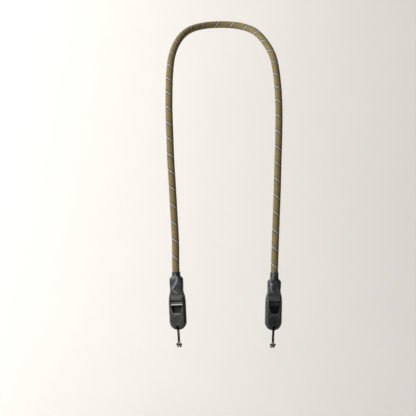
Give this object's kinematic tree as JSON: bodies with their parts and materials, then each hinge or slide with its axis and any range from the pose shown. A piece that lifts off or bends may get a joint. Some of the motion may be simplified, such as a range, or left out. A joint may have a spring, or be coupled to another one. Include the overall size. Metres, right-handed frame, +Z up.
{
  "type": "camera neck strap",
  "caption": "Round braided rope neck strap with shrunk end sleeves, webbing loops and quick-release connectors on thin anchor cords.",
  "frame": {"origin": "on the rope's inner face at the middle of the nape, where the strap rests on the neck", "axes": "+Z up, the strap hangs towards -Z; -Y is the wearer's front; +X is to the right as seen from the front"},
  "size_m": [0.1665, 0.1822, 0.4741],
  "materials": {
    "olive_rope": "braided, matte, with one light and dark helical tracer",
    "black_sleeve": "satin shrunk sleeve with creases",
    "black_webbing": "flat weave",
    "black_plastic": "fine grained",
    "disc_plastic": "fine grained",
    "dark_cord": "tight braid"
  },
  "bodies": {
    "root": {"rope": "olive_rope", "sleeve_left": "black_sleeve", "sleeve_right": "black_sleeve", "webbing_loop_left": "black_webbing", "webbing_loop_right": "black_webbing", "housing_left": "black_plastic", "housing_right": "black_plastic", "anchor_disc_left": "disc_plastic", "anchor_disc_right": "disc_plastic", "anchor_cord_left": "dark_cord", "anchor_cord_right": "dark_cord"}
  },
  "joints": []
}
